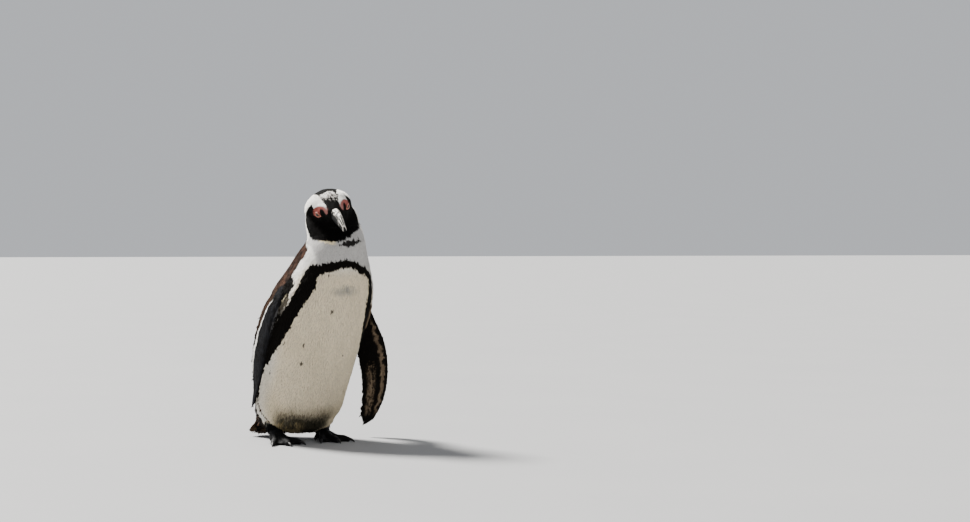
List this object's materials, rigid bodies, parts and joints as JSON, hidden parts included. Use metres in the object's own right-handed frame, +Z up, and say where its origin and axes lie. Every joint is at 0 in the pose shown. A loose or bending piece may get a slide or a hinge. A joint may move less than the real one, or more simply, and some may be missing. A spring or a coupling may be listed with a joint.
{
  "type": "standing african penguin",
  "caption": "Standing African penguin at rest: head bowed and turned, flippers hanging at its sides, tail laid on the floor.",
  "frame": {"origin": "middle of the bird's bounding box seen from above, on the floor it stands on", "axes": "+Z up from the floor; the bird's chest faces -Y; its left flipper is on the +X side"},
  "size_m": [0.229, 0.2732, 0.4074],
  "materials": {
    "black_plumage": "short dense black feathers with a dull sheen",
    "white_plumage": "short dense off-white feathers, slightly soiled below",
    "black_horn": "black horn of the bill and claws, satin, scuffed grey on the ridge",
    "black_skin": "bare black scaly skin of the feet",
    "eye_brown": "wet dark brown eye"
  },
  "bodies": {
    "root": {"head": "black_plumage", "neck": "white_plumage", "trunk": "white_plumage", "tail": "black_plumage", "flipper_left": "black_plumage", "flipper_right": "black_plumage", "leg_left": "black_plumage", "leg_right": "black_plumage", "foot_left": "black_skin", "foot_right": "black_skin", "bill_upper": "black_horn", "bill_lower": "black_horn", "eye_left": "eye_brown", "eye_right": "eye_brown", "claw_left_1": "black_horn", "claw_left_2": "black_horn", "claw_left_3": "black_horn", "claw_left_4": "black_horn", "claw_right_1": "black_horn", "claw_right_2": "black_horn", "claw_right_3": "black_horn", "claw_right_4": "black_horn"}
  },
  "joints": []
}
